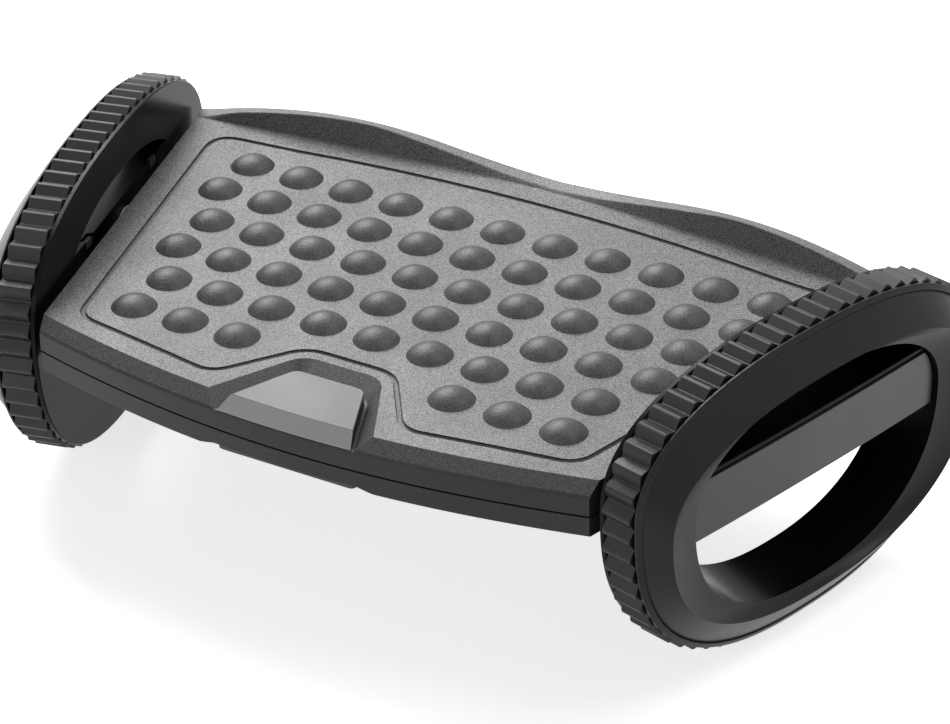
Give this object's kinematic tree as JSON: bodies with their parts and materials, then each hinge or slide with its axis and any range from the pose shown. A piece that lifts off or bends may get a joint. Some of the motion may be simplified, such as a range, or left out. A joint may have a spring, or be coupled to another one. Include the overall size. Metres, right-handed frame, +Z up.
{
  "type": "tilting under desk footrest",
  "caption": "Low bumpy foot deck carried between two toed-in, ribbed, egg-shaped side wheels with hand openings; each wheel turns on its axle to set height and tilt.",
  "frame": {"origin": "on the floor below the middle of the bounding box", "axes": "+X to the user's right, +Y to the back (raised edge), +Z up"},
  "size_m": [0.4916, 0.263, 0.1599],
  "materials": {
    "textured_plastic": "fine moulded grain",
    "smooth_plastic": "smooth satin",
    "cover_plastic": "satin gloss",
    "frame_plastic": "gloss",
    "tread_rubber": "matt rubber",
    "pad_rubber": "matt rubber",
    "badge_plastic": "smooth light grey",
    "strip_plastic": "smooth grey",
    "steel": "zinc plated",
    "bearing_plastic": "natural acetal"
  },
  "bodies": {
    "deck": {"deck_top_shell": "textured_plastic", "deck_bottom_shell": "smooth_plastic", "badge_plate": "badge_plastic", "grip_pad": "pad_rubber", "shell_screw_1": "steel", "shell_screw_2": "steel", "shell_screw_3": "steel", "shell_screw_4": "steel", "shell_screw_5": "steel", "shell_screw_6": "steel", "shell_screw_7": "steel", "shell_screw_8": "steel", "right_side_carrier": "smooth_plastic", "right_carrier_screw_front": "steel", "right_carrier_screw_back": "steel", "right_spigot": "steel", "right_thrust_washer": "bearing_plastic", "right_wave_washer": "steel", "right_retaining_washer": "steel", "right_retaining_screw": "steel", "left_side_carrier": "smooth_plastic", "left_carrier_screw_front": "steel", "left_carrier_screw_back": "steel", "left_spigot": "steel", "left_thrust_washer": "bearing_plastic", "left_wave_washer": "steel", "left_retaining_washer": "steel", "left_retaining_screw": "steel"},
    "left_wheel": {"left_wheel_frame": "frame_plastic", "left_tread": "tread_rubber", "left_wheel_cover": "cover_plastic", "left_crossbar_cover": "strip_plastic", "left_hub_bush": "bearing_plastic"},
    "right_wheel": {"right_wheel_frame": "frame_plastic", "right_tread": "tread_rubber", "right_wheel_cover": "cover_plastic", "right_crossbar_cover": "strip_plastic", "right_hub_bush": "bearing_plastic"}
  },
  "joints": [
    {"name": "left_wheel_turn", "type": "hinge", "parent": "deck", "child": "left_wheel", "pos_m": [-0.182, 0.0068, 0.1003], "axis": [0.9703, 0.2419, 0], "range_deg": [0, 180]},
    {"name": "right_wheel_turn", "type": "hinge", "parent": "deck", "child": "right_wheel", "pos_m": [0.182, 0.0068, 0.1003], "axis": [0.9703, -0.2419, 0], "range_deg": [0, 180]}
  ]
}
